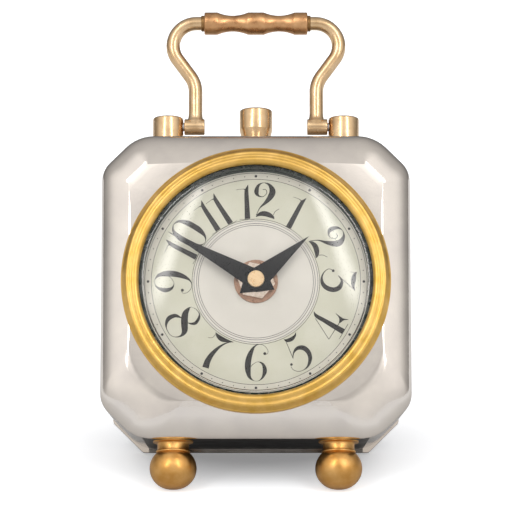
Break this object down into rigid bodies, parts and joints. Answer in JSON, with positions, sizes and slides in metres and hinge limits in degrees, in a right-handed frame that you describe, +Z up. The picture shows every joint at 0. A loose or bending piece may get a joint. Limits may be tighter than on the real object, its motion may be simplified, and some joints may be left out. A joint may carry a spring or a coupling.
{
  "type": "table clock",
  "caption": "Leaning square chamfered metal table clock with a round brass bezel, domed glass, folding bail handle, push button, two ball feet and a quartz movement.",
  "frame": {"origin": "on the table, under the middle of the clock's box in x and y", "axes": "+Z up, +X to the right as the dial is read, +Y from the dial to the back; the clock leans back by 25.4 degrees about X"},
  "size_m": [0.1164, 0.1062, 0.1643],
  "materials": {
    "nickel": "polished nickel plate",
    "brass": "satin golden brass",
    "pale_brass": "polished pale brass",
    "aged_brass": "darkened brass",
    "glass": "clear domed glass",
    "ring_green": "dark green enamel",
    "dial_card": "matt printed lacquer",
    "hand_black": "matt black lacquer",
    "steel": "zinc-plated",
    "gear": "moulded acetal",
    "housing": "moulded",
    "rubber": "plain",
    "copper": "enamelled copper wire",
    "board": "solder-mask green",
    "cell": "plain sleeve"
  },
  "bodies": {
    "case": {"case_shell": "nickel", "back_plate": "nickel", "back_screws": "steel", "door_hinge_pin": "steel", "bezel_ring": "brass", "domed_glass": "glass", "dial_ring": "ring_green", "dial_plate": "dial_card", "clamp_washers": "rubber", "clamp_ring": "steel", "bezel_screws": "steel", "movement_front": "housing", "movement_back": "housing", "bush_gasket": "rubber", "threaded_bush": "brass", "dial_washer": "nickel", "hex_nut": "nickel", "coil": "copper", "stator": "steel", "circuit_board": "board", "quartz_can": "steel", "battery": "cell", "battery_contacts": "steel", "foot_left": "brass", "foot_right": "brass", "foot_screws": "steel", "foot_washers": "steel", "post_left": "pale_brass", "post_right": "pale_brass", "post_screws": "steel", "pivot_pins": "steel", "button_bush": "pale_brass", "button_nut": "steel", "button_spring": "steel"},
    "handle": {"handle_arm_left": "pale_brass", "handle_arm_right": "pale_brass", "grip_collars": "aged_brass", "handle_grip": "pale_brass"},
    "minute_train": {"minute_arbor": "gear", "minute_hand": "hand_black", "hand_cap": "pale_brass"},
    "hour_train": {"hour_wheel": "gear", "hour_hand": "hand_black"},
    "setting_train": {"minute_wheel": "gear", "set_knob": "housing"},
    "button": {"button_head": "pale_brass", "button_clip": "steel"},
    "door": {"back_door": "nickel", "door_pull": "brass"}
  },
  "joints": [
    {"name": "handle_fold", "type": "hinge", "parent": "case", "child": "handle", "pos_m": [0, 0.03114, 0.12282], "axis": [1, 0, 0], "range_deg": [-95, 95]},
    {"name": "minute_spin", "type": "hinge", "parent": "case", "child": "minute_train", "pos_m": [0, -0.02529, 0.07635], "axis": [0, 0.9031, -0.4295], "continuous": true},
    {"name": "hour_spin", "type": "hinge", "parent": "case", "child": "hour_train", "pos_m": [0, -0.02529, 0.07635], "axis": [0, 0.9031, -0.4295], "continuous": true},
    {"name": "setting_spin", "type": "hinge", "parent": "case", "child": "setting_train", "pos_m": [0, -0.02014, 0.08719], "axis": [0, 0.9031, -0.4295], "continuous": true},
    {"name": "button_press", "type": "slide", "parent": "case", "child": "button", "axis": [0, -0.4295, -0.9031], "range_m": [0, 0.002], "stiffness_N_per_m": 400, "springref_m": -0.002, "deforming": ["button_spring"]},
    {"name": "door_swing", "type": "hinge", "parent": "case", "child": "door", "pos_m": [-0.0295, 0.03133, 0.04942], "axis": [0, 0.4295, 0.9031], "range_deg": [0, 110]}
  ],
  "couplings": [
    {"joint": "hour_spin", "follows": "minute_spin", "ratio": 0.083333},
    {"joint": "setting_spin", "follows": "minute_spin", "ratio": -0.33333}
  ]
}
